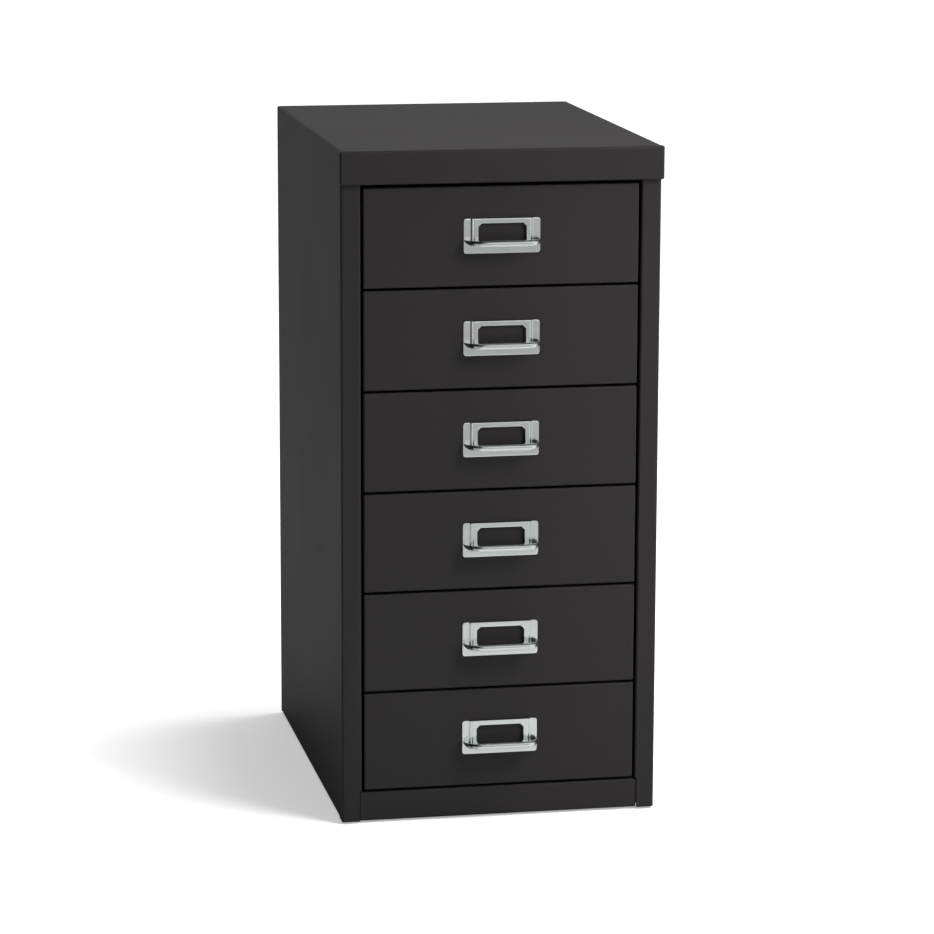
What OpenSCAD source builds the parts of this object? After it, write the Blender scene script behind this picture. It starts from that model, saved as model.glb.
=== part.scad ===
// Small steel cabinet with a stack of shallow drawers, each with a chromed card-holder pull.
// Millimetres, +Z up. The drawers face -Y. The origin lies on the floor, under the middle of
// the cabinet's whole length, the pulls included.

/* [Cabinet] */
// Width over the side panels
cabinet_w = 279; // [250:1:360]
// Depth from the face of the front posts to the rear face
cabinet_d = 380; // [340:1:460]
// Height from the floor to the top of the cap
cabinet_h = 590; // [540:1:700]
// How many drawers are stacked
drawer_count = 6; // [4:1:6]
// Steel sheet of the carcass
body_sheet = 1; // [0.8:0.1:1.2]
// Inside radius of the carcass bends
body_bend = 1; // [0.6:0.1:1.2]
// Width of the welding flanges at the back and underneath
weld_flange = 12; // [9:1:15]

/* [Cap] */
// Height of the cap's front band
band_h = 29; // [22:1:40]
// How far the band stands out ahead of the front posts
band_proud = 6; // [4:0.5:10]
// How far each end of the band overhangs the side panel
band_overhang = 1.2; // [0.6:0.1:2]
// Corner radius of the band's lower ends
band_corner = 2.5; // [1.5:0.1:4]
// How far the band's lower lip runs back between the posts
head_lip = 13; // [8:1:16]
// Inside radius of the side panels' top bend, under the cap's rolled edge
shoulder_bend = 2.6; // [2.6:0.1:3.4]

/* [Front posts and rail] */
// Visible width of each front post
post_w = 17.4; // [14:0.1:24]
// Depth of the box that each front post is folded to
post_d = 14; // [12:0.5:20]
// Height of the bottom rail
rail_h = 26; // [18:1:40]
// How far the rail lies back from the posts
rail_recess = 1; // [0.5:0.1:2]
// How far each end of the rail reaches into its post
rail_tuck = 1.3; // [0.8:0.1:2]
// Open seam between the rail and the post
rail_seam = 0.6; // [0.4:0.1:1]
// Corner radius at the rail's upper ends
rail_corner = 2.5; // [1:0.5:4]

/* [Feet] */
// Height of the base above the floor
foot_h = 2; // [1.5:0.5:8]
// Diameter of a foot
foot_dia = 22; // [16:1:30]
// Diameter of the stem that holds it in the base
foot_stem_dia = 6; // [4:0.5:8]
// Distance of a foot's centre from the outside faces
foot_inset = 38; // [28:1:50]
// Chamfer round the foot's sole
foot_chamfer = 0.8; // [0.4:0.1:1.2]
// Height of the snap head above the base
foot_head_h = 2.5; // [1.5:0.5:4]

/* [Drawers] */
// Steel sheet of the drawers
drawer_sheet = 0.8; // [0.6:0.1:1]
// Inside radius of the drawers' bends
drawer_bend = 0.6; // [0.5:0.1:1]
// Gap between one drawer front and the next, and above the rail
front_gap = 2.1; // [1.5:0.1:4]
// Gap above the top drawer front
head_gap = 3; // [2:0.1:5]
// Gap at each side of a drawer front
side_gap = 2.1; // [1.5:0.1:4]
// How far a drawer front lies back from the posts
front_recess = 0.5; // [0:0.1:1.5]
// Width of the frame turned in behind the drawer front
front_frame = 14; // [10:1:18]
// Clear space behind a closed tray
tray_clear = 16.3; // [12:0.1:30]
// Height of the tray's floor above the foot of its front
tray_lift = 3; // [2:0.5:6]
// Depth of the tray's top below the head of its front
tray_drop = 13; // [12:0.5:18]
// Distance of a tray side from the inside of the front post
tray_inset = 10.1; // [9.5:0.1:13]
// Width of the flange that carries the tray on its runner
tray_flange = 7.4; // [6.5:0.1:9]

/* [Runners] */
// Clear height inside a runner
runner_h = 8; // [6:0.5:9]
// Running clearance of the sliding pieces
run_gap = 0.3; // [0.2:0.05:0.4]
// Sideways clearance between a tray and its runners
side_play = 0.6; // [0.3:0.1:1]
// Distance of the stop tab behind the runner's front end
stop_setback = 22; // [15:1:30]
// Width of the stop tab
stop_w = 5; // [4:0.5:6]
// Length of a nylon glide
glide_l = 22; // [16:1:24]
// Distance of a glide from the rear edge of its tray
glide_setback = 12.4; // [4:0.1:30]
// Radius of a glide's leading nose
glide_nose = 2; // [1:0.5:3]
// Diameter of the stem that holds a glide to its flange
glide_stem_dia = 3; // [2:0.5:4]

/* [Card-holder pulls] */
// Width of the pressed plate
plate_w = 66.5; // [60:0.5:76]
// Height of the pressed plate
plate_h = 30; // [28:0.5:36]
// Corner radius of the plate
plate_corner = 2; // [1:0.5:3]
// Sheet of the pull
pull_sheet = 0.8; // [0.6:0.1:1]
// How far a pull's centre lies above the middle of its drawer front
pull_rise = 0.3; // [-2:0.1:2]
// Width of the raised panel that holds the card
card_w = 53; // [48:0.5:56]
// Step of the raised panel, ahead of the plate's edges
card_step = 2; // [1.8:0.1:3]
// Width of the window
window_w = 42; // [36:0.5:44]
// Height of the window
window_h = 17.6; // [12:0.2:18]
// Bevel at the window's corners
window_bevel = 3; // [1.5:0.5:4]
// Border above the window
window_border = 4; // [3:0.1:6]
// Reach of the hood ahead of the drawer front
hood_reach = 18; // [15:0.5:24]
// Height of the hood's top above the plate's lower edge
hood_top = 12.6; // [11.5:0.1:14]
// Radius at which the hood rolls over to its rim
hood_roll = 3.5; // [2.5:0.1:4]
// Height of the hood's rim above the plate's lower edge
hood_rim = 7.7; // [6.5:0.1:8.5]
// Height at which the hood's ends meet the plate's side edges
hood_end = 12; // [11:0.1:13]
// How square the hood's corners are in plan
hood_square = 8; // [5:1:14]

/* [Hidden] */
$fn = 48;
left = -1;
right = 1;

// Where the cabinet stands in its own frame: the front posts' face is at y = 0 below
y_front_most = front_recess - hood_reach;
y_centre = (y_front_most + cabinet_d) / 2;

// Carcass
half_w = cabinet_w / 2;
base_z = foot_h;
cap_under = cabinet_h - body_sheet;
lip_h = body_bend + body_sheet;
band_bottom = cabinet_h - band_h;
post_inner = half_w - post_w;
seam_gap = 0.3;
beyond = 1;
wall_top = cabinet_h - lip_h - seam_gap;
flange_start = post_d + body_bend + 2 * body_sheet;
flange_end = cabinet_d - 3 * body_sheet;
back_y = cabinet_d - 2 * body_sheet;
pan_z = base_z + body_sheet;
rail_half = post_inner + rail_tuck;

// Drawer fronts
stop_gap = 0.3;
stack_h = band_bottom - head_gap - base_z - rail_h - drawer_count * front_gap;
front_h = stack_h / drawer_count;
pitch = front_h + front_gap;
front_half = post_inner - side_gap;
front_d = post_d - stop_gap - front_recess;
front_back = front_recess + front_d;

// Trays and runners
tray_half = post_inner - tray_inset;
tray_top = front_h - tray_drop;
tray_back = back_y - tray_clear;
flange_half = tray_half + tray_flange;
shelf_top = tray_top - drawer_sheet - run_gap;
runner_bottom = shelf_top - body_sheet;
runner_back = flange_end - body_sheet;
runner_nose = tray_half + side_play;
stop_y = post_d + stop_setback;
glide_front = tray_back - glide_setback - glide_l;
travel = glide_front - stop_y - body_sheet - stop_gap;
glide_h = runner_h - drawer_sheet - 2 * run_gap;
glide_w = flange_half - tray_half - drawer_bend - 2 * run_gap;
glide_x = flange_half - run_gap - glide_w / 2;
stop_clear = 0.6;
fit_gap = 0.1;

// Pulls
pull_z = front_h / 2 + pull_rise - plate_h / 2;
plate_half = plate_w / 2;
panel_half = card_w / 2;
panel_front = card_step + pull_sheet;
sill = plate_h - window_border - window_h;
lug_w = 5;
lug_fold = 5;
lug_x = (plate_half + panel_half) / 2;
lug_z = plate_h * 0.6;
panel_foot = sill + 0.5;
plate_low = sill - 0.1;
hood_root = pull_sheet * 0.6;
hood_free = pull_sheet + fit_gap;
hood_joint = card_w * 0.45;
hood_knee = panel_front + pull_sheet / 2;
hood_centre = [hood_reach - hood_roll, hood_top - hood_roll];
hood_columns = 34;
hood_rows = 8;

SIDES = ["left", "right"];

paint = "#3a3838";
chrome = "#d0d2d4";
nylon = "#e4e2da";
rubber = "#1c1c1c";

// ---------- helpers ----------

// Height of the foot of drawer front i, counted from the top drawer
function front_z(i) = band_bottom - head_gap - front_h - (i - 1) * pitch;

function unit(v) = v / norm(v);

// Straight stretch of sheet from a to b, drawn on the sheet's middle line
module strip(a, b, sheet) {
    along = unit(b - a);
    side = [-along[1], along[0]] * sheet / 2;
    polygon([a + side, b + side, b - side, a - side]);
}

// Quarter ring that joins two stretches at the corner p of the middle line
module bend(p, into, out_of, radius, sheet) {
    centre = p + radius * (out_of - into);
    reach = radius + sheet;
    far = centre + reach * (into - out_of);
    low = [min(centre[0], far[0]), min(centre[1], far[1])];
    intersection() {
        difference() {
            translate(centre) circle(r = radius + sheet / 2);
            translate(centre) circle(r = radius - sheet / 2);
        }
        translate(low) square([reach, reach]);
    }
}

// Section of folded sheet along a path of square corners, with one inside radius a corner
module folded(path, sheet, radii) {
    last = len(path) - 1;
    for (i = [0 : last - 1]) {
        along = unit(path[i + 1] - path[i]);
        trim_a = i == 0 ? 0 : radii[i - 1] + sheet / 2;
        trim_b = i == last - 1 ? 0 : radii[i] + sheet / 2;
        strip(path[i] + trim_a * along, path[i + 1] - trim_b * along, sheet);
    }
    for (i = [1 : last - 1]) {
        into = unit(path[i] - path[i - 1]);
        out_of = unit(path[i + 1] - path[i]);
        bend(path[i], into, out_of, radii[i - 1] + sheet / 2, sheet);
    }
}

// Rectangle with its own radius at each corner, from the lower left one round to the upper left
module soft_rect(low, high, radii) {
    corners = [low, [high[0], low[1]], high, [low[0], high[1]]];
    inward = [[1, 1], [-1, 1], [-1, -1], [1, -1]];
    difference() {
        translate(low) square(high - low);
        for (i = [0:3]) if (radii[i] > 0) {
            corner = corners[i];
            centre = corner + radii[i] * inward[i];
            difference() {
                translate([min(corner[0], centre[0]), min(corner[1], centre[1])])
                    square(radii[i]);
                translate(centre) circle(r = radii[i]);
            }
        }
    }
}

// Box from low to high
module block(low, high) {
    translate(low) cube(high - low);
}

// Section drawn as (x, z), run back along y
module along_y(y0, y1) {
    translate([0, y1, 0]) rotate([90, 0, 0]) linear_extrude(y1 - y0) children();
}

// Section drawn as (y, z), run across along x
module along_x(x0, x1) {
    translate([x0, 0, 0]) rotate([90, 0, 90]) linear_extrude(x1 - x0) children();
}

// Section drawn as (x, y), run up along z
module along_z(z0, z1) {
    translate([0, 0, z0]) linear_extrude(z1 - z0) children();
}

// Puts a piece of the cabinet in the part's own frame
module placed() {
    translate([0, -y_centre, 0]) children();
}

// Mirrors a piece made for the right side to the side that is asked for
module handed(side) {
    mirror([side == left ? 1 : 0, 0, 0]) children();
}

// ---------- carcass ----------

// Plan of the wall with its front post and rear flange, for the right side
module side_plan() {
    half = body_sheet / 2;
    folded([
        [half_w - body_sheet - seam_gap, post_d - half],
        [post_inner + half, post_d - half],
        [post_inner + half, half],
        [half_w - half, half],
        [half_w - half, cabinet_d - half],
        [half_w - weld_flange, cabinet_d - half]
    ], body_sheet, [body_bend, body_bend, body_bend, body_bend]);
}

// Section of the wall with the flange under the cap and the one under the base
module side_section() {
    half = body_sheet / 2;
    folded([
        [half_w - weld_flange, base_z + half],
        [half_w - half, base_z + half],
        [half_w - half, cap_under - half],
        [half_w - weld_flange, cap_under - half]
    ], body_sheet, [body_bend, shoulder_bend]);
}

// Side panel: one folded sheet that is wall, front post and rear flange
module side_panel(side) {
    notch_top = base_z + rail_h + rail_seam;
    color(paint) placed() handed(side) {
        difference() {
            along_z(base_z, wall_top) side_plan();
            block([post_inner + post_w / 2, flange_start, base_z - beyond],
                  [half_w + beyond, flange_end, cabinet_h]);
            block([post_inner - beyond, -beyond, base_z - beyond],
                  [rail_half + rail_seam, front_back, notch_top]);
        }
        along_y(flange_start, flange_end) side_section();
    }
}

// Back panel, lapped inside the side panels' rear flanges
module back_panel() {
    half = body_sheet / 2;
    reach = back_y - weld_flange;
    wide = half_w - body_sheet - body_bend;
    fold_half = half_w - weld_flange - 2 * body_sheet;
    fold_foot = cap_under - body_bend - 2 * body_sheet;
    color(paint) placed() {
        block([-wide, back_y, base_z], [wide, back_y + body_sheet, fold_foot]);
        along_x(-fold_half, fold_half) folded([
            [reach, cap_under - half],
            [back_y + half, cap_under - half],
            [back_y + half, fold_foot]
        ], body_sheet, [body_bend]);
    }
}

// Base pan, resting on the side panels' lower flanges and the rail's foot
module base_pan() {
    half = body_sheet / 2;
    wide = half_w - body_sheet - seam_gap;
    front = post_d + seam_gap;
    color(paint) placed() difference() {
        union() {
            along_y(front, back_y) folded([
                [-wide + half, pan_z + weld_flange],
                [-wide + half, pan_z + half],
                [wide - half, pan_z + half],
                [wide - half, pan_z + weld_flange]
            ], body_sheet, [body_bend, body_bend]);
            along_x(-fold_x(), fold_x()) folded([
                [front + weld_flange, pan_z + half],
                [back_y - half, pan_z + half],
                [back_y - half, pan_z + weld_flange]
            ], body_sheet, [body_bend]);
        }
        for (p = foot_places())
            translate([p[0], p[1], pan_z - body_sheet])
                cylinder(d = foot_stem_dia + 2 * fit_gap, h = 3 * body_sheet);
    }
}

function fold_x() = half_w - weld_flange - body_sheet;

// Cap: top sheet with rolled edges, and the band across the front
module top_cap() {
    color(paint) placed() {
        difference() {
            cap_form(0);
            cap_form(body_sheet);
        }
        difference() {
            band_form(0);
            band_form(body_sheet);
            // the lower lip stops short of the posts, and runs back between them
            for (s = [left, right]) handed(s)
                block([post_inner - side_gap, -seam_gap, band_bottom - beyond],
                      [half_w + band_proud, head_lip + beyond, band_bottom + 2 * body_sheet]);
            // behind the post faces only the lip and the top sheet go on
            block([-cabinet_w, -seam_gap, band_bottom + body_sheet],
                  [cabinet_w, head_lip + beyond, cabinet_h + beyond]);
        }
    }
}

// Outer form of the top sheet, or the form inside it when drawn in by the sheet
module cap_form(inset) {
    radius = body_bend + body_sheet - inset;
    low_z = cabinet_h - lip_h - (inset > 0 ? beyond : 0);
    high_z = cabinet_h - inset;
    reach = half_w - inset;
    far = cabinet_d - inset;
    near = -seam_gap - (inset > 0 ? 2 : 1) * body_sheet;
    intersection() {
        along_y(near, far) soft_rect([-reach, low_z], [reach, high_z], [0, 0, radius, radius]);
        along_x(-reach, reach) soft_rect([near, low_z], [far, high_z], [0, 0, radius, 0]);
        along_z(low_z, high_z) soft_rect([-reach, near], [reach, far], [0, 0, radius, radius]);
    }
}

// Outer form of the front band, or the form inside it when drawn in by the sheet
module band_form(inset) {
    radius = body_bend + body_sheet - inset;
    reach = half_w + band_overhang - inset;
    near = inset - band_proud;
    far = inset > 0 ? head_lip + beyond : head_lip;
    low_z = band_bottom + inset;
    high_z = cabinet_h - inset;
    lower = inset > 0 ? body_bend : band_corner;
    intersection() {
        along_y(near, far)
            soft_rect([-reach, low_z], [reach, high_z], [lower, lower, radius, radius]);
        along_x(-reach, reach)
            soft_rect([near, low_z], [far, high_z], [radius, 0, 0, radius]);
        along_z(low_z, high_z)
            soft_rect([-reach, near], [reach, far], [radius, radius, 0, 0]);
    }
}

// Bottom rail: a channel between the posts, under the lowest drawer
module bottom_rail() {
    half = body_sheet / 2;
    top = base_z + rail_h;
    under_pan = post_d + seam_gap;
    color(paint) placed() {
        intersection() {
            along_x(-rail_half, rail_half) folded([
                [front_back - body_sheet, top - half],
                [rail_recess + half, top - half],
                [rail_recess + half, base_z + half],
                [under_pan, base_z + half]
            ], body_sheet, [body_bend, body_bend]);
            along_y(0, post_d + beyond)
                soft_rect([-rail_half, base_z], [rail_half, top],
                          [0, 0, rail_corner, rail_corner]);
        }
        // foot of the channel, under the base pan
        block([-rail_half, under_pan, base_z],
              [rail_half, under_pan + weld_flange, pan_z]);
    }
}

// Centres of the feet, in plan
function foot_places() = [
    for (y = [foot_inset, cabinet_d - foot_inset], s = [left, right])
        [s * (half_w - foot_inset), y]
];

// Foot: a disc with a stem through the base pan and a snap head above it
module foot(place) {
    radius = foot_dia / 2;
    stem = foot_stem_dia / 2;
    head = stem * 1.35;
    head_z = pan_z + body_sheet;
    color(rubber) placed() translate([place[0], place[1], 0]) rotate_extrude() polygon([
        [0, 0],
        [radius - foot_chamfer, 0],
        [radius, foot_chamfer],
        [radius, pan_z],
        [stem, pan_z],
        [stem, head_z],
        [head, head_z],
        [stem * 0.7, head_z + foot_head_h],
        [0, head_z + foot_head_h]
    ]);
}

// Runner of drawer i: a deep channel welded to the side panel, with a stop tab at its front
module runner(i, side) {
    half = body_sheet / 2;
    wall = half_w - body_sheet;
    foot = front_z(i) + runner_bottom;
    top = foot + runner_h + 2 * body_sheet;
    tab_low = front_z(i) + tray_top + stop_clear;
    tab_outer = flange_half - run_gap;
    color(paint) placed() handed(side) {
        difference() {
            along_y(post_d, runner_back) folded([
                [runner_nose, foot + half],
                [wall - half, foot + half],
                [wall - half, top - half],
                [runner_nose, top - half]
            ], body_sheet, [body_bend, body_bend]);
            // slot that the stop tab was bent out of
            block([tab_outer - stop_w, stop_y + body_sheet, top - 2 * body_sheet],
                  [tab_outer, stop_y + body_sheet + top - tab_low, top + beyond]);
        }
        block([tab_outer - stop_w, stop_y, tab_low],
              [tab_outer, stop_y + body_sheet, top - half]);
    }
}

// ---------- drawers ----------

// Outer form of a drawer front, or the form inside it when drawn in by the sheet
module front_form(inset) {
    edge = drawer_bend + drawer_sheet - inset;
    reach = front_half - inset;
    near = front_recess + inset;
    far = front_back - inset;
    low_z = inset;
    high_z = front_h - inset;
    intersection() {
        along_y(near, far)
            soft_rect([-reach, low_z], [reach, high_z], [edge, edge, edge, edge]);
        along_x(-reach, reach) soft_rect([near, low_z], [far, high_z], [edge, 0, 0, edge]);
        along_z(low_z, high_z) soft_rect([-reach, near], [reach, far], [edge, edge, 0, 0]);
    }
}

// Drawer front i: a pressed pan with a frame turned in behind it
module drawer_front(i) {
    frame = front_frame;
    color(paint) placed() translate([0, 0, front_z(i)]) difference() {
        front_form(0);
        front_form(drawer_sheet);
        block([frame - front_half, front_recess + 2 * drawer_sheet, frame],
              [front_half - frame, post_d + beyond, front_h - frame]);
        for (s = [left, right]) handed(s) lug_slot();
    }
}

// Slot in the drawer front for one lug of the pull
module lug_slot() {
    block([lug_x - lug_w / 2 - fit_gap, front_recess - beyond, pull_z + lug_z - fit_gap],
          [lug_x + lug_w / 2 + fit_gap, front_recess + 2 * drawer_sheet,
           pull_z + lug_z + pull_sheet + fit_gap]);
}

// Tray of drawer i: folded sheet with a flange out to each runner
module drawer_tray(i) {
    half = drawer_sheet / 2;
    low = tray_lift;
    inner = drawer_bend;
    outer = drawer_bend + drawer_sheet;
    hem_foot = tray_top - 2 * outer;
    color(paint) placed() translate([0, 0, front_z(i)]) difference() {
        union() {
            along_y(front_back, tray_back) folded([
                [-flange_half, tray_top - half],
                [-tray_half + half, tray_top - half],
                [-tray_half + half, low + half],
                [tray_half - half, low + half],
                [tray_half - half, tray_top - half],
                [flange_half, tray_top - half]
            ], drawer_sheet, [inner, inner, inner, inner]);
            // front wall, as high as the frame behind the drawer front
            along_y(front_back, front_back + drawer_sheet)
                soft_rect([-tray_half, low], [tray_half, front_h - tray_lift],
                          [outer, outer, 0, 0]);
            // rear wall, with its top edge turned back
            along_y(tray_back - drawer_sheet, tray_back)
                soft_rect([-tray_half, low], [tray_half, hem_foot], [outer, outer, 0, 0]);
            along_x(outer - tray_half, tray_half - outer) folded([
                [tray_back - half, hem_foot],
                [tray_back - half, tray_top - half],
                [tray_back + tray_flange, tray_top - half]
            ], drawer_sheet, [inner]);
        }
        for (s = [left, right])
            translate([s * glide_x, glide_front + glide_l / 2, tray_top - 2 * drawer_sheet])
                cylinder(d = glide_stem_dia + 2 * fit_gap, h = 3 * drawer_sheet);
    }
}

// Glide of drawer i: a nylon block on the tray's flange that runs inside the channel
module glide(i, side) {
    low = front_z(i) + tray_top;
    ease = glide_nose / 2;
    color(nylon) placed() handed(side) {
        intersection() {
            along_y(glide_front, glide_front + glide_l)
                soft_rect([glide_x - glide_w / 2, low], [glide_x + glide_w / 2, low + glide_h],
                          [0, 0, ease, ease]);
            along_x(glide_x - glide_w, glide_x + glide_w)
                soft_rect([glide_front, low], [glide_front + glide_l, low + glide_h],
                          [0, 0, glide_nose, ease]);
        }
        translate([glide_x, glide_front + glide_l / 2, low - drawer_sheet])
            cylinder(d = glide_stem_dia, h = drawer_sheet + glide_h / 2);
    }
}

// ---------- card-holder pulls ----------

// How full the hood is at x, from 1 over the middle to 0 at the plate's side edges
function hood_share(x, half) = sqrt(max(0, 1 - pow(abs(x) / half, hood_square)));

// One face of the hood's sheet in section, as reach and height: level under the card, then up
// to where it touches the roll, over the roll and down to the rim
function hood_face(low, radius) =
    let (across = hood_centre[0] - hood_knee, up = hood_centre[1] - low)
    let (slope = atan(up / across) + asin(radius / norm([across, up])))
    concat(
        [[hood_root, low], [hood_knee, low]],
        [for (r = [0:hood_rows])
            let (a = (90 + slope) * (1 - r / hood_rows))
            hood_centre + radius * [cos(a), sin(a)]],
        [[hood_centre[0] + radius, hood_rim]]
    );

// A point p of that section at x, drawn in towards the plate and the end's height by the share.
// The sheet runs into the plate over its middle and stands just clear of it beyond
function hood_point(x, p, half, end) =
    let (root = abs(x) < hood_joint ? hood_root : hood_free)
    [
        x,
        -root - max(0, p[0] - root) * hood_share(x, half),
        end - (end - p[1]) * hood_share(x, half)
    ];

// Two triangles that fill a four-sided face
function quad(a, b, c, d) = [[a, b, c], [a, c, d]];

// Pressed hood: a closed shell between its under and its upper face, both on one grid
module hood() {
    faces = [hood_face(sill - pull_sheet, hood_roll - pull_sheet), hood_face(sill, hood_roll)];
    halves = [plate_half - pull_sheet, plate_half];
    ends_z = [hood_end - 2.4 * pull_sheet, hood_end];
    stretch = 0.9995;
    last = len(faces[0]) - 1;
    across = last + 1;
    count = (hood_columns + 1) * across;
    // columns crowd towards the ends, where the hood turns back to the plate
    spread = [for (c = [0:hood_columns]) -cos(180 * c / hood_columns)];
    points = [for (f = [0, 1], c = [0:hood_columns], p = faces[f])
        hood_point(spread[c] * halves[f] * stretch, p, halves[f], ends_z[f])];
    function at(c, r) = c * across + r;
    skin = [for (c = [0:hood_columns - 1], r = [0:last - 1])
        each quad(at(c, r), at(c, r + 1), at(c + 1, r + 1), at(c + 1, r))];
    lining = [for (f = skin) [f[2] + count, f[1] + count, f[0] + count]];
    rim = [for (c = [0:hood_columns - 1])
        each quad(at(c, last), at(c, last) + count, at(c + 1, last) + count, at(c + 1, last))];
    root = [for (c = [0:hood_columns - 1])
        each quad(at(c, 0), at(c + 1, 0), at(c + 1, 0) + count, at(c, 0) + count)];
    ends = [for (r = [0:last - 1])
        each concat(
            quad(at(0, r), at(0, r) + count, at(0, r + 1) + count, at(0, r + 1)),
            quad(at(hood_columns, r), at(hood_columns, r + 1),
                 at(hood_columns, r + 1) + count, at(hood_columns, r) + count))];
    polyhedron(points, concat(skin, lining, rim, root, ends), convexity = 4);
}

// Plate of a pull: flat below and at its sides, with a raised panel that leaves a slot for the card
module pull_plate() {
    half = pull_sheet / 2;
    fold = pull_sheet / 2;
    window_half = window_w / 2;
    intersection() {
        union() {
            along_z(panel_foot, plate_h) folded([
                [-plate_half, -half],
                [-panel_half, -half],
                [-panel_half, -card_step - half],
                [panel_half, -card_step - half],
                [panel_half, -half],
                [plate_half, -half]
            ], pull_sheet, [fold, fold, fold, fold]);
            block([-plate_half, -pull_sheet, 0], [plate_half, 0, plate_low]);
            for (s = [left, right]) handed(s)
                block([panel_half + pull_sheet, -pull_sheet, 0],
                      [plate_half, 0, panel_foot + pull_sheet]);
        }
        difference() {
            along_y(-panel_front - beyond, beyond)
                soft_rect([-plate_half, 0], [plate_half, plate_h],
                          [plate_corner, plate_corner, plate_corner, plate_corner]);
            along_y(-panel_front - 2 * beyond, -pull_sheet) translate([0, sill]) polygon([
                [window_bevel - window_half, 0],
                [window_half - window_bevel, 0],
                [window_half, window_bevel],
                [window_half, window_h - window_bevel],
                [window_half - window_bevel, window_h],
                [window_bevel - window_half, window_h],
                [-window_half, window_h - window_bevel],
                [-window_half, window_bevel]
            ]);
        }
    }
}

// Lug of a pull: a tab through the drawer front, bent up behind it
module pull_lug() {
    low = [lug_x - lug_w / 2, -pull_sheet / 2, lug_z];
    behind = drawer_sheet + pull_sheet;
    block(low, [lug_x + lug_w / 2, behind, lug_z + pull_sheet]);
    block([low[0], drawer_sheet, lug_z], [lug_x + lug_w / 2, behind, lug_z + lug_fold]);
}

// Pull of drawer i
module pull(i) {
    color(chrome) placed() translate([0, front_recess, front_z(i) + pull_z]) {
        pull_plate();
        hood();
        for (s = [left, right]) handed(s) pull_lug();
    }
}

// ---------- the part ----------

side_panel(left);  // side_panel_left
side_panel(right);  // side_panel_right
back_panel();
base_pan();
top_cap();
bottom_rail();
foot(foot_places()[0]);  // foot_front_left
foot(foot_places()[1]);  // foot_front_right
foot(foot_places()[2]);  // foot_rear_left
foot(foot_places()[3]);  // foot_rear_right
for (i = [1:drawer_count]) {
    runner(i, left);
    runner(i, right);
    drawer_front(i);
    drawer_tray(i);
    pull(i);
    glide(i, left);
    glide(i, right);
}
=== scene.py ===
"""Dressed model of a small steel multi-drawer cabinet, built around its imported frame.

Each sub-assembly is a class: the carcass, one drawer, its stamped pull, and the studio. Lengths of
the object are held in millimetres, as they would be on its drawing, and turned to metres where a
mesh is made. Finishes and the studio are in metres. The frame is the CAD's: +Z up, the drawers
face -Y, the floor is z = 0.
"""

from __future__ import annotations

import logging
import math
from dataclasses import dataclass, field
from enum import Enum
from typing import Any, Union

import bpy
import numpy as np
from mathutils import Matrix, Vector

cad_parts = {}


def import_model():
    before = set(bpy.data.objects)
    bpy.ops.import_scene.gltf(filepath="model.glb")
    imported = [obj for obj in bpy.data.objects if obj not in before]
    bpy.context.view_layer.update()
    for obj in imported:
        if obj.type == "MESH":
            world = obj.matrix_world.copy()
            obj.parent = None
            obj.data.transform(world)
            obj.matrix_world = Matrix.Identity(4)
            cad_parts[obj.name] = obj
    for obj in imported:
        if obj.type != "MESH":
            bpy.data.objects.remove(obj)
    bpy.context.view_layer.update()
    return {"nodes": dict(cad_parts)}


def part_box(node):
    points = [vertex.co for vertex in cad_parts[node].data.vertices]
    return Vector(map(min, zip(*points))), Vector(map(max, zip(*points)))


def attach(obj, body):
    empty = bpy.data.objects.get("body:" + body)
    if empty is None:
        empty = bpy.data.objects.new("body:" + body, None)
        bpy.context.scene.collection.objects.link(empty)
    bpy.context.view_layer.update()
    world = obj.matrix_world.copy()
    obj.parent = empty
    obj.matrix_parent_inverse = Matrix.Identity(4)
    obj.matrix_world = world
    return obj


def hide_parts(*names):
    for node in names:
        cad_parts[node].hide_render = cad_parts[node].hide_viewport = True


LOG = logging.getLogger("cabinet")
MM = 0.001
DRAWERS = 6

Colour = tuple[float, float, float]
Triple = tuple[float, float, float]
Number = Union[float, "Signal"]
Nodes = dict[str, bpy.types.Object]


class Side(Enum):
    """Sides of the cabinet, as the nodes' names end with them."""

    LEFT = "left"
    RIGHT = "right"


class Slot(Enum):
    """Material slots of the record, by name; no piece in this script takes one."""

    PULL = "pull_chrome"


class Ray(Enum):
    """Kinds of ray that meet a surface, as a Light Path node names them."""

    CAMERA = "Is Camera Ray"
    GLOSSY = "Is Glossy Ray"


# ---------- shader expressions ----------


@dataclass(frozen=True)
class Grain:
    """A noise: its cells to the metre, the octaves added, and a factor on the cells along each axis."""

    per_metre: float
    detail: float = 2.0
    stretch: Triple = (1.0, 1.0, 1.0)


@dataclass(frozen=True)
class Step:
    """A soft step: the value at which it is half way, and half of its width."""

    edge: float
    blur: float


class Signal:
    """A number that varies over a surface; Python's operators on it add Math nodes."""

    def __init__(self, tree: ShaderTree, socket: bpy.types.NodeSocket) -> None:
        """Wraps one output socket.

        Args:
            tree: The node tree that the socket belongs to.
            socket: The output that carries the number.
        """
        self.tree = tree
        self.socket = socket

    def __add__(self, other: Number) -> Signal:
        """self + other."""
        return self.tree.maths("ADD", self, other)

    def __radd__(self, other: Number) -> Signal:
        """other + self."""
        return self.tree.maths("ADD", other, self)

    def __sub__(self, other: Number) -> Signal:
        """self - other."""
        return self.tree.maths("SUBTRACT", self, other)

    def __mul__(self, other: Number) -> Signal:
        """self * other."""
        return self.tree.maths("MULTIPLY", self, other)

    def __abs__(self) -> Signal:
        """Size of self, without its sign."""
        return self.tree.maths("ABSOLUTE", self)

    def above(self, step: Step) -> Signal:
        """1 above a soft step and 0 below it."""
        return self.tree.ramp(self, step.edge - step.blur, step.edge + step.blur)

    def swing(self, width: float) -> Signal:
        """From half of width under zero to half of width over it, as self goes from 0 to 1."""
        return (self - 0.5) * width


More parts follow.
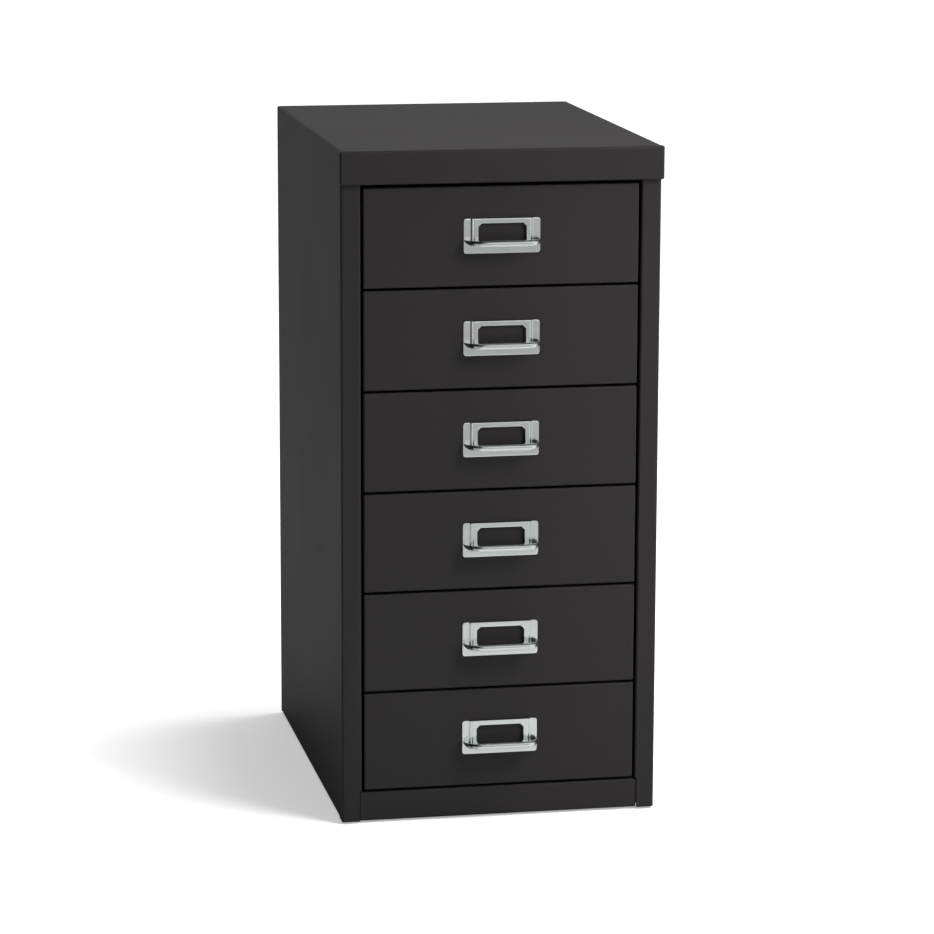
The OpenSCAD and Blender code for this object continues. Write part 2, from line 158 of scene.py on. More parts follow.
class ShaderTree:
    """Node tree of one material or world, written as expressions."""

    def __init__(self, tree: bpy.types.NodeTree) -> None:
        """Takes the tree over and clears it.

        Args:
            tree: The node tree to write into.
        """
        self.tree = tree
        tree.nodes.clear()

    @staticmethod
    def entry(node: bpy.types.Node, name: str) -> bpy.types.NodeSocket:
        """Finds a node's input.

        Args:
            node: The node.
            name: The input's name, with _ for a space, or its place, such as i0 for the first.

        Returns:
            The input.
        """
        if name[0] == "i" and name[1:].isdigit():
            return node.inputs[int(name[1:])]
        return node.inputs[name.replace("_", " ")]

    def node(self, kind: str, settings: dict[str, Any] | None = None, **inputs: Any) -> bpy.types.Node:
        """Adds a node, sets its settings first and then its inputs.

        Args:
            kind: Node type, such as ShaderNodeTexNoise.
            settings: Attributes of the node, such as a Math node's operation.
            **inputs: Values, signals or outputs to link, by input as entry() finds it.

        Returns:
            The node.
        """
        made = self.tree.nodes.new(kind)
        for name, value in (settings or {}).items():
            setattr(made, name, value)
        for name, value in inputs.items():
            socket = self.entry(made, name)
            if isinstance(value, Signal):
                value = value.socket
            if isinstance(value, bpy.types.NodeSocket):
                self.tree.links.new(value, socket)
            else:
                socket.default_value = value
        return made

    def maths(self, operation: str, *operands: Number) -> Signal:
        """Adds a Math node.

        Args:
            operation: The node's operation, such as ADD.
            *operands: One, two or three numbers.

        Returns:
            The result.
        """
        inputs = {f"i{place}": value for place, value in enumerate(operands)}
        made = self.node("ShaderNodeMath", {"operation": operation}, **inputs)
        return Signal(self, made.outputs[0])

    def ramp(
        self, value: Signal, low: float, high: float, out_low: float = 0.0, out_high: float = 1.0
    ) -> Signal:
        """Maps low..high to out_low..out_high along a smooth step, clamped at both ends.

        Args:
            value: The number to map.
            low: Where the step starts.
            high: Where the step ends.
            out_low: Result at and below low.
            out_high: Result at and above high.

        Returns:
            The mapped number.
        """
        made = self.node(
            "ShaderNodeMapRange",
            {"interpolation_type": "SMOOTHSTEP"},
            Value=value,
            From_Min=low,
            From_Max=high,
            To_Min=out_low,
            To_Max=out_high,
        )
        return Signal(self, made.outputs[0])

    def place(self, stretch: Triple = (1.0, 1.0, 1.0)) -> bpy.types.NodeSocket:
        """Object coordinates, in metres, stretched along each axis."""
        coords = self.node("ShaderNodeTexCoord").outputs["Object"]
        return self.node("ShaderNodeMapping", None, Vector=coords, Scale=stretch).outputs[0]

    def axes(self) -> tuple[Signal, Signal, Signal]:
        """Object coordinates as three separate numbers, in metres."""
        split = self.node("ShaderNodeSeparateXYZ", None, Vector=self.place())
        return tuple(Signal(self, out) for out in split.outputs)

    def seen_by(self, ray: Ray) -> Signal:
        """1 to a ray of this kind and 0 to every other."""
        return Signal(self, self.node("ShaderNodeLightPath").outputs[ray.value])

    def noise(self, grain: Grain) -> Signal:
        """Noise of about 0..1.

        Args:
            grain: Its cells, octaves and stretch.

        Returns:
            The noise.
        """
        made = self.node(
            "ShaderNodeTexNoise",
            None,
            Vector=self.place(grain.stretch),
            Scale=grain.per_metre,
            Detail=grain.detail,
        )
        return Signal(self, made.outputs["Fac"])

    def mix(self, share: Number, first: Any, second: Any) -> bpy.types.NodeSocket:
        """Mixes two colours, each a tuple or an output.

        Args:
            share: Share of the second colour, 0..1.
            first: The colour at a share of 0.
            second: The colour at a share of 1.

        Returns:
            The mixed colour.
        """
        first, second = (opaque(c) if isinstance(c, tuple) else c for c in (first, second))
        made = self.node("ShaderNodeMix", {"data_type": "RGBA"}, i0=share, i6=first, i7=second)
        return made.outputs[2]

    def bump(self, height: Signal, depth: float, strength: float) -> bpy.types.NodeSocket:
        """Normal of a surface that rises by depth metres where height is 1.

        Args:
            height: The relief, about 0..1.
            depth: Its height in metres.
            strength: Share of the tilt that is kept.

        Returns:
            The normal.
        """
        made = self.node("ShaderNodeBump", None, Height=height, Distance=depth, Strength=strength)
        return made.outputs[0]

    def surface(self, **inputs: Any) -> None:
        """Ends a material with one Principled shader on these inputs."""
        shader = self.node("ShaderNodeBsdfPrincipled", None, **inputs)
        self.node("ShaderNodeOutputMaterial", None, Surface=shader.outputs[0])


def opaque(colour: Colour) -> tuple[float, float, float, float]:
    """Colour with a full alpha, as a socket holds it."""
    return (*colour, 1.0)


def grey(level: float) -> Colour:
    """Colour with the same level in each channel."""
    return (level, level, level)


def shade(colour: Colour, factor: float) -> Colour:
    """Colour made lighter or darker by a factor."""
    return tuple(channel * factor for channel in colour)


# ---------- finishes ----------


@dataclass(frozen=True)
class Finish:
    """A finish that can be turned into a material; its depths are in metres.

    Its name isn't one of the frame's own materials, which are named by the record's slots.
    """

    name: str

    def write(self, tree: ShaderTree) -> None:
        """Writes the finish's nodes; each finish has its own."""
        raise NotImplementedError

    def material(self) -> bpy.types.Material:
        """Makes the material, or finds the one already made under this name.

        Returns:
            The material.
        """
        made = bpy.data.materials.get(self.name)
        if made is None:
            made = bpy.data.materials.new(self.name)
            made.use_nodes = True
            self.write(ShaderTree(made.node_tree))
        return made


@dataclass(frozen=True)
class PowderCoat(Finish):
    """Satin powder coat on sheet steel: a fine orange peel, specks and a faint cloud in its colour."""

    colour: Colour = (0.0182, 0.0161, 0.0170)
    roughness: float = 0.52
    gloss: float = 0.32
    cloud: Grain = Grain(5.0, 3.0)
    cloud_shades: tuple[float, float] = (0.90, 1.12)
    cloud_roughness: float = 0.10
    speck: Grain = Grain(1500.0, 1.0)
    speck_step: Step = Step(0.68, 0.08)
    speck_share: float = 0.35
    speck_shade: float = 2.0
    speck_roughness: float = 0.06
    peel: Grain = Grain(620.0)
    peel_depth: float = 0.00004
    peel_strength: float = 0.5
    wave: Grain = Grain(90.0, 1.0)
    wave_share: float = 0.6

    def clouded(self, tree: ShaderTree, cloud: Signal) -> bpy.types.NodeSocket:
        """The coat's colour, from its darker to its lighter shade with the cloud."""
        dark, light = self.cloud_shades
        return tree.mix(cloud, shade(self.colour, dark), shade(self.colour, light))

    def write(self, tree: ShaderTree) -> None:
        """Writes the clouded and specked colour, the roughness and the relief of peel and wave.

        Args:
            tree: The material's node tree.
        """
        cloud, speck = tree.noise(self.cloud), tree.noise(self.speck)
        light = speck.above(self.speck_step) * self.speck_share
        relief = tree.noise(self.peel) + tree.noise(self.wave) * self.wave_share
        rough = self.roughness + cloud.swing(self.cloud_roughness) + speck.swing(self.speck_roughness)
        tree.surface(
            Base_Color=tree.mix(light, self.clouded(tree, cloud), shade(self.colour, self.speck_shade)),
            Roughness=rough,
            Specular_IOR_Level=self.gloss,
            Normal=tree.bump(relief, self.peel_depth, self.peel_strength),
        )


@dataclass(frozen=True)
class RubbedCoat(PowderCoat):
    """Powder coat with bright rubbed streaks where a drawer's flange and its channel meet."""

    steel: Colour = (0.36, 0.35, 0.34)
    rubbed: Step = Step(0.1135, 0.0012)
    streak: Grain = Grain(260.0, 3.0, (1.0, 0.03, 1.0))
    streak_step: Step = Step(0.60, 0.05)
    worn_share: float = 0.6
    worn_polish: float = 0.2

    def write(self, tree: ShaderTree) -> None:
        """Writes the coat, worn to the steel in streaks along Y, further out than the rubbed step.

        Args:
            tree: The material's node tree.
        """
        across = abs(tree.axes()[0])
        streaks = tree.noise(self.streak).above(self.streak_step)
        worn = across.above(self.rubbed) * streaks * self.worn_share
        cloud = tree.noise(self.cloud)
        tree.surface(
            Base_Color=tree.mix(worn, self.clouded(tree, cloud), self.steel),
            Metallic=worn,
            Roughness=self.roughness + cloud.swing(self.cloud_roughness) - worn * self.worn_polish,
            Specular_IOR_Level=self.gloss,
            Normal=tree.bump(tree.noise(self.peel), self.peel_depth, self.peel_strength),
        )


@dataclass(frozen=True)
class BrightPlate(Finish):
    """Bright plating over pressed steel: a mirror with a slight ripple and fine wiping marks."""

    colour: Colour = (0.86, 0.90, 0.89)
    roughness: float = 0.15
    cloud: Grain = Grain(70.0, 3.0)
    cloud_shade: float = 0.93
    cloud_roughness: float = 0.08
    wipe: Grain = Grain(900.0, 2.0, (0.08, 1.0, 1.0))
    wipe_step: Step = Step(0.62, 0.08)
    wipe_roughness: float = 0.05
    wipe_relief: float = 0.05
    ripple: Grain = Grain(210.0)
    ripple_depth: float = 0.00012
    ripple_strength: float = 0.6

    def write(self, tree: ShaderTree) -> None:
        """Writes the metal, its cloudy roughness and the ripple of the pressing.

        Args:
            tree: The material's node tree.
        """
        cloud, wipes = tree.noise(self.cloud), tree.noise(self.wipe)
        marks = wipes.above(self.wipe_step) * self.wipe_roughness
        relief = tree.noise(self.ripple) + wipes * self.wipe_relief
        tree.surface(
            Base_Color=tree.mix(cloud, shade(self.colour, self.cloud_shade), self.colour),
            Metallic=1.0,
            Roughness=self.roughness + cloud * self.cloud_roughness + marks,
            Normal=tree.bump(relief, self.ripple_depth, self.ripple_strength),
        )


@dataclass(frozen=True)
class FloorPaint(Finish):
    """Pale floor, nearly white to the camera and darker in the light that it returns.

    The grey levels are for what it returns behind and ahead of the cabinet, for a gloss that looks
    at it ahead, and for the camera, to which it also glows.
    """

    back: float = 0.30
    front: float = 0.20
    mirrored: float = 0.38
    seen: float = 0.82
    glow: float = 0.39
    front_y: float = -0.25
    back_y: float = 0.0
    roughness: float = 0.95
    gloss: float = 0.1

    def write(self, tree: ShaderTree) -> None:
        """Writes the floor's grey by the kind of ray and by y.

        Args:
            tree: The material's node tree.
        """
        camera, gloss = tree.seen_by(Ray.CAMERA), tree.seen_by(Ray.GLOSSY)
        ahead = tree.ramp(tree.axes()[1], self.front_y, self.back_y, 1.0, 0.0)
        front = tree.mix(gloss, grey(self.front), grey(self.mirrored))
        returned = tree.mix(ahead, grey(self.back), front)
        tree.surface(
            Base_Color=tree.mix(camera, returned, grey(self.seen)),
            Roughness=self.roughness,
            Specular_IOR_Level=self.gloss,
            Emission_Color=tree.mix(camera, grey(0.0), grey(self.glow)),
            Emission_Strength=1.0,
        )


@dataclass(frozen=True)
class CardPaint(Finish):
    """Nearly black card that glows evenly at a level of its own."""

    glow: float
    colour: Colour = (0.01, 0.01, 0.01)

    def write(self, tree: ShaderTree) -> None:
        """Writes the card's colour and its glow.

        Args:
            tree: The material's node tree.
        """
        tree.surface(
            Base_Color=opaque(self.colour),
            Roughness=1.0,
            Emission_Color=opaque(grey(self.glow)),
            Emission_Strength=1.0,
        )


# ---------- surfaces ----------


@dataclass
class Shell:
    """Grids of points that are joined into one mesh."""

    points: list[np.ndarray] = field(default_factory=list)
    faces: list[np.ndarray] = field(default_factory=list)
    count: int = 0

    def add(self, grid: np.ndarray, flip: bool = False) -> None:
        """Adds one grid of points, joined in quads between neighbours.

        The corners of cell (r, c) are grid[r, c], grid[r, c + 1], grid[r + 1, c + 1] and
        grid[r + 1, c], in this order.

        Args:
            grid: Points, shaped (rows, columns, 3), in metres.
            flip: Whether the faces turn the other way.
        """
        rows, columns = grid.shape[:2]
        index = np.arange(rows * columns).reshape(rows, columns) + self.count
        quads = np.stack([index[:-1, :-1], index[:-1, 1:], index[1:, 1:], index[1:, :-1]], axis=-1)
        quads = quads.reshape(-1, 4)
        self.points.append(grid.reshape(-1, 3))
        self.faces.append(quads[:, ::-1] if flip else quads)
        self.count += rows * columns

    def mesh(self, name: str, weld: float) -> bpy.types.Mesh:
        """Makes the mesh, with points that round to the same multiples of weld merged.

        Args:
            name: Name of the mesh.
            weld: Distance in metres.

        Returns:
            The mesh, shaded smooth.
        """
        points = np.concatenate(self.points)
        keys = np.round(points / weld).astype(np.int64)
        _, first, back = np.unique(keys, axis=0, return_index=True, return_inverse=True)
        faces = back.reshape(-1)[np.concatenate(self.faces)]
        made = bpy.data.meshes.new(name)
        made.from_pydata(points[first].tolist(), [], self.sound(faces))
        made.polygons.foreach_set("use_smooth", np.ones(len(made.polygons), dtype=bool))
        made.update()
        return made

    @staticmethod
    def sound(faces: np.ndarray) -> list[list[int]]:
        """Drops doubled corners from each quad, and quads that have shrunk to a line."""
        kept = (list(dict.fromkeys(face)) for face in faces.tolist())
        return [face for face in kept if len(face) > 2]


def rounded(corners: np.ndarray, radius: float, steps: int = 6) -> np.ndarray:
    """Path through corners, each inner one replaced by an arc.

    The arc of radius r at a corner p between unit directions a and b starts and ends at the
    distance r tan(t / 2) from p, where t is the turn, and its points are
    centre + r (cos s, sin s).

    Args:
        corners: Points, shaped (n, 2).
        radius: Radius of each arc.
        steps: Segments of an arc.

    Returns:
        The path's points, shaped (m, 2).
    """
    path = [corners[:1]]
    for before, at, after in zip(corners[:-2], corners[1:-1], corners[2:]):
        a = (at - before) / np.linalg.norm(at - before)
        b = (after - at) / np.linalg.norm(after - at)
        turn = math.atan2(a[0] * b[1] - a[1] * b[0], float(a @ b))
        side = math.copysign(1.0, turn)
        start = at - a * radius * math.tan(abs(turn) / 2)
        centre = start + side * radius * np.array([-a[1], a[0]])
        first = math.atan2(*(start - centre)[::-1])
        angles = first + np.linspace(0.0, turn, steps + 1)
        path.append(centre + radius * np.stack([np.cos(angles), np.sin(angles)], axis=1))
    path.append(corners[-1:])
    return np.concatenate(path)


def piece(name: str, mesh: bpy.types.Mesh, material: bpy.types.Material) -> bpy.types.Object:
    """Puts a mesh in the scene as an object at the origin.

    Args:
        name: Name of the object.
        mesh: Its mesh, with its place in it.
        material: The material that it gets.

    Returns:
        The object.
    """
    made = bpy.data.objects.new(name, mesh)
    bpy.context.scene.collection.objects.link(made)
    mesh.materials.append(material)
    return made


def flat_piece(name: str, outline: list[Vector], finish: Finish) -> bpy.types.Object:
    """Puts one four-sided face in the scene.

    Args:
        name: Name of the object and its mesh.
        outline: The four corners, in order around the face.
        finish: Its finish.

    Returns:
        The object.
    """
    mesh = bpy.data.meshes.new(name)
    mesh.from_pydata(outline, [], [(0, 1, 2, 3)])
    return piece(name, mesh, finish.material())


def dress(node: bpy.types.Object, finish: Finish) -> None:
    """Gives a CAD node its finish.

    Args:
        node: The node.
        finish: The finish, for every material place that the node has.
    """
    material = finish.material()
    for place in node.material_slots:
        place.material = material


# ---------- the cabinet ----------


@dataclass
class Carcass:
    """Folded sheet-steel case: side panels, back, base, cap and bottom rail, and the runners.

    The feet keep the frame's plain rubber.
    """

    paint: PowderCoat = PowderCoat("carcass_powder_coat")
    channel: RubbedCoat = RubbedCoat("runner_powder_coat")
    sheets: tuple[str, ...] = (
        "side_panel_left", "side_panel_right", "back_panel", "base_pan", "top_cap", "bottom_rail",
    )

    def build(self, nodes: Nodes) -> None:
        """Dresses the case's nodes.

        Args:
            nodes: CAD nodes by name.
        """
        for name in self.sheets:
            dress(nodes[name], self.paint)
        for number in range(1, DRAWERS + 1):
            for side in Side:
                dress(nodes[f"runner_{number}_{side.value}"], self.channel)
        LOG.info("carcass: %d sheets and %d runners", len(self.sheets), DRAWERS * len(Side))


@dataclass
class Pull:
    """Stamped card-holder pull: a plate with a window, and under it a hood that rolls over.

    Reach is measured ahead of the drawer front and height above the plate's foot. Only the two weld
    distances are in metres. Columns and points say how finely the curves are divided.
    """

    plate_w: float = 66.5
    plate_h: float = 30.0
    sheet: float = 0.8
    corner: float = 2.0
    panel_half: float = 26.5
    step: float = 2.0
    fold: float = 0.55
    slope: float = 0.7
    groove: float = 0.30
    groove_in: float = 1.5
    groove_half: float = 0.9
    window_w: float = 42.0
    window_h: float = 17.6
    window_bevel: float = 3.0
    border: float = 4.0
    reach: float = 18.0
    top: float = 12.6
    roll: float = 3.5
    rim: float = 7.7
    rim_break: float = 0.8
    rim_share: float = 0.9
    end: float = 12.0
    inner_end: float = 10.08
    knee_radius: float = 1.2
    lean_deg: float = 10.0
    square: float = 7.0
    columns: int = 170
    panel_points: int = 41
    groove_points: int = 12
    flat_points: int = 4
    roll_points: int = 30
    rim_points: int = 8
    plan_points: int = 6001
    edge_round: float = 0.2
    edge_angle_deg: float = 50.0
    plate_weld: float = 1e-6
    hood_weld: float = 1e-7
    finish: BrightPlate = BrightPlate("pull_bright_plate")

    @property
    def sill(self) -> float:
        """Height of the window's lower edge."""
        return self.plate_h - self.border - self.window_h

    @property
    def root(self) -> float:
        """Reach of the hood's root, inside the plate's sheet."""
        return 0.6 * self.sheet

    def plate_stops(self) -> np.ndarray:
        """Places across x at which the plate's section gets a point beside those of its folds.

        Returns:
            Places, in millimetres: over the panel, at the window's edges, close together over each
            groove, and on the flat edges outside the folds.
        """
        near, far = self.groove_in - self.groove_half, self.groove_in + self.groove_half
        margin = 0.2
        middle = self.panel_half - far - 2 * margin
        panel = np.linspace(-middle, middle, self.panel_points)
        window = self.window_w / 2 - np.array([0.0, self.window_bevel])
        grooves = self.panel_half - np.linspace(near - margin, far + margin, self.groove_points)
        first, last = self.slope + 1.0, 6.0
        flats = self.panel_half + np.linspace(first, last, self.flat_points)
        one_side = np.concatenate([window, grooves, flats])
        return np.concatenate([panel, one_side, -one_side])

    def plate_path(self) -> np.ndarray:
        """Section of the plate across x: flat edge, soft fold, raised panel, fold, flat edge.

        Just inside each fold a groove sinks by g cos^2(pi u / 2), where u goes from -1 to 1 over
        its width.

        Returns:
            Points (x, y), in millimetres, on the sheet's outer face.
        """
        half, outer = self.panel_half, self.panel_half + self.slope
        path = rounded(
            np.array([
                [-self.plate_w / 2, -self.sheet],
                [-outer, -self.sheet],
                [-half, -self.sheet - self.step],
                [half, -self.sheet - self.step],
                [outer, -self.sheet],
                [self.plate_w / 2, -self.sheet],
            ]),
            self.fold,
        )
        stops = self.plate_stops()
        extra = np.stack([stops, np.interp(stops, path[:, 0], path[:, 1])], axis=1)
        path = np.concatenate([path, extra])
        path = path[np.argsort(path[:, 0], kind="stable")]
        u = np.clip((np.abs(path[:, 0]) - half + self.groove_in) / self.groove_half, -1.0, 1.0)
        path[:, 1] += self.groove * np.cos(math.pi * u / 2) ** 2
        return path

    def plate(self) -> Shell:
        """Plate around its window, as grids between a lower and an upper edge at each x.

        The window's sill is z = s + max(0, |x| - (w / 2 - b)) within |x| <= w / 2, where b is
        the bevel, and its head mirrors that; the plate's corners follow circles. Below the hood
        the plate is flat.

        Returns:
            The plate's outer face.
        """
        path = self.plate_path()
        x, y = path[:, 0], path[:, 1]
        half = self.window_w / 2
        lift = np.clip(np.abs(x) - (half - self.window_bevel), 0.0, self.window_bevel)
        inset = np.clip(np.abs(x) - (self.plate_w / 2 - self.corner), 0.0, self.corner)
        drop = self.corner - np.sqrt(np.maximum(self.corner**2 - inset**2, 0.0))
        low, high = self.sill + lift, self.sill + self.window_h - lift
        shelf = np.full_like(x, self.sill - 0.5 * self.sheet)
        shell = Shell()
        shell.add(self.strip(x, np.full_like(x, -self.sheet), drop, shelf, rows=9))
        shell.add(self.strip(x, y, shelf, low, rows=3))
        shell.add(self.strip(x, y, high, self.plate_h - drop, rows=7))
        for keep in (x <= -half, x >= half):
            shell.add(self.strip(x[keep], y[keep], low[keep], high[keep], rows=9))
        return shell

    @staticmethod
    def strip(x: np.ndarray, y: np.ndarray, low: np.ndarray, high: np.ndarray, rows: int) -> np.ndarray:
        """Grid between two edges: z = low + (high - low) v, v = 0..1.

        Args:
            x: Place of each column.
            y: Reach of each column, below zero.
            low: Height of the lower edge at each column.
            high: Height of the upper edge at each column.
            rows: Rows of the grid.

        Returns:
            Points, shaped (rows, columns, 3), in metres.
        """
        v = np.linspace(0.0, 1.0, rows)[:, None]
        z = low + (high - low) * v
        return np.stack([np.broadcast_to(x, z.shape), np.broadcast_to(y, z.shape), z], axis=-1) * MM

    def section(self, low: float, radius: float, edge: float) -> np.ndarray:
        """One face of the hood's sheet in section.

        Level under the card, then a straight rise that touches the roll's circle
        c + r (cos a, sin a) where a = 90 degrees + its slope, round to a = the lean, and down to
        the rim along that slope, where the corner is broken by a quarter of an ellipse.

        Args:
            low: Height at the root.
            radius: Radius of the roll on this face.
            edge: Reach of the sheet's middle at the rim, towards which the corner turns.

        Returns:
            Points (reach, height), in millimetres.
        """
        knee = self.step + 1.5 * self.sheet
        lean = math.radians(self.lean_deg)
        fall = self.top - self.roll * (1 - math.sin(lean)) - self.rim
        centre_reach = self.reach - self.roll * math.cos(lean) - fall * math.tan(lean)
        centre = np.array([centre_reach, self.top - self.roll])
        across, up = centre[0] - knee, centre[1] - low
        slope = math.atan2(up, across) + math.asin(radius / math.hypot(across, up))
        a = np.linspace(math.pi / 2 + slope, lean, self.roll_points)[:, None]
        arc = centre + radius * np.concatenate([np.cos(a), np.sin(a)], axis=1)
        face = arc[-1, 0] + (arc[-1, 1] - self.rim) * math.tan(lean)
        b = np.linspace(0.0, math.pi / 2, self.rim_points)[:, None]
        inwards = face + (edge - face) * self.rim_share * (1 - np.cos(b))
        corner = np.concatenate([inwards, self.rim + self.rim_break * (1 - np.sin(b))], axis=1)
        straight = np.array([[self.root, low], [knee, low]])
        path = rounded(np.concatenate([straight, arc[:1]]), self.knee_radius)
        return np.concatenate([path[:-1], arc, corner])

    def plan(self, p: np.ndarray, half: float) -> np.ndarray:
        """Places across x of the hood's plan, |x / h|^n = cos^2 p, with x rising over p = 0..pi."""
        return -np.sign(np.cos(p)) * np.abs(np.cos(p)) ** (2.0 / self.square) * half

    def hood_face(self, section: np.ndarray, half: float, end: float) -> np.ndarray:
        """One face of the hood, spread from its section.

        The columns lie at even steps along the plan's outer edge. With the share s = sin p, a
        section point (R, Z) lies at y = -r - (R - r) s and z = e - (e - Z) s, with the root r and
        the end's height e.

        Args:
            section: Points (reach, height) of this face.
            half: Half width at which the face meets the plate.
            end: Height at which it does so.

        Returns:
            Points, shaped (section, columns, 3), in millimetres.
        """
        fine = np.linspace(0.0, math.pi, self.plan_points)
        outline = np.stack([self.plan(fine, self.plate_w / 2), self.reach * np.sin(fine)], axis=1)
        step = np.linalg.norm(np.diff(outline, axis=0), axis=1)
        length = np.concatenate([[0.0], np.cumsum(step)])
        p = np.interp(np.linspace(0.0, length[-1], self.columns), length, fine)
        share = np.sin(p)
        y = -self.root - (section[:, :1] - self.root) * share
        z = end - (end - section[:, 1:]) * share
        return np.stack([np.broadcast_to(self.plan(p, half), z.shape), y, z], axis=-1)

    def hood(self) -> Shell:
        """Hood as a closed sheet: its upper and its under face, joined at the root and the rim.

        Returns:
            The whole skin of the hood.
        """
        edge = self.reach - self.sheet / 2
        upper = self.hood_face(self.section(self.sill, self.roll, edge), self.plate_w / 2, self.end)
        under = self.hood_face(
            self.section(self.sill - self.sheet, self.roll - self.sheet, edge),
            self.plate_w / 2 - self.sheet,
            self.inner_end,
        )
        shell = Shell()
        shell.add(upper * MM, flip=True)
        shell.add(under * MM)
        for row in (0, -1):
            shell.add(np.stack([upper[row], under[row]]) * MM, flip=row == 0)
        return shell

    def build(self, number: int, node: bpy.types.Object) -> None:
        """Makes pull number's plate and hood in place of its CAD node.

        Args:
            number: Drawer's number, from the top.
            node: The CAD node that the pull stands for.
        """
        low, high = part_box(node.name)
        at = Matrix.Translation(Vector(((low[0] + high[0]) / 2, low[1] + self.reach * MM, low[2])))
        material = self.finish.material()
        meshes = {
            "plate": self.plate().mesh(f"pull_plate_{number}", self.plate_weld),
            "hood": self.hood().mesh(f"pull_hood_{number}", self.hood_weld),
        }
        parts = {}
        for kind, mesh in meshes.items():
            mesh.transform(at)
            parts[kind] = piece(mesh.name, mesh, material)
            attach(parts[kind], f"drawer_{number}")
        thick = parts["plate"].modifiers.new("sheet", "SOLIDIFY")
        thick.thickness = self.sheet * MM
        thick.offset = -1.0
        soften = parts["plate"].modifiers.new("edge", "BEVEL")
        soften.width = self.edge_round * MM
        soften.segments = 2
        soften.angle_limit = math.radians(self.edge_angle_deg)
        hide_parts(node.name)


@dataclass
class Drawer:
    """One drawer: the front pan, the tray behind it and the pull; its glides keep the frame's nylon."""

    number: int
    front_paint: PowderCoat = PowderCoat("drawer_powder_coat")
    tray_paint: RubbedCoat = RubbedCoat("tray_powder_coat")
    pull: Pull = field(default_factory=Pull)

    def build(self, nodes: Nodes) -> None:
        """Dresses the drawer's nodes and makes its pull.

        Args:
            nodes: CAD nodes by name.
        """
        dress(nodes[f"drawer_front_{self.number}"], self.front_paint)
        dress(nodes[f"drawer_tray_{self.number}"], self.tray_paint)
        self.pull.build(self.number, nodes[f"pull_{self.number}"])
        LOG.info("drawer %d: front, tray and pull", self.number)


# ---------- the studio ----------


@dataclass(frozen=True)
class SoftBox:
    """Square soft lamp: its side, its power, where it hangs and the point that it faces."""

    name: str
    side: float
    watts: float
    place: Triple
    aim: Triple


@dataclass(frozen=True)
class Card:
    """Flat card, square to the axes, between its low and its high corner; it glows by its level."""

    name: str
    glow: float
    low: Triple
    high: Triple

    def outline(self) -> list[Vector]:
        """Corners of the card.

        Returns:
            The low corner, its neighbour along the first axis, the high corner, and the last one.
        """
        low, high = Vector(self.low), Vector(self.high)
        first, second = (axis for axis in range(3) if low[axis] != high[axis])
        along, beside = low.copy(), low.copy()
        along[first] = high[first]
        beside[second] = high[second]
        return [low, along, high, beside]


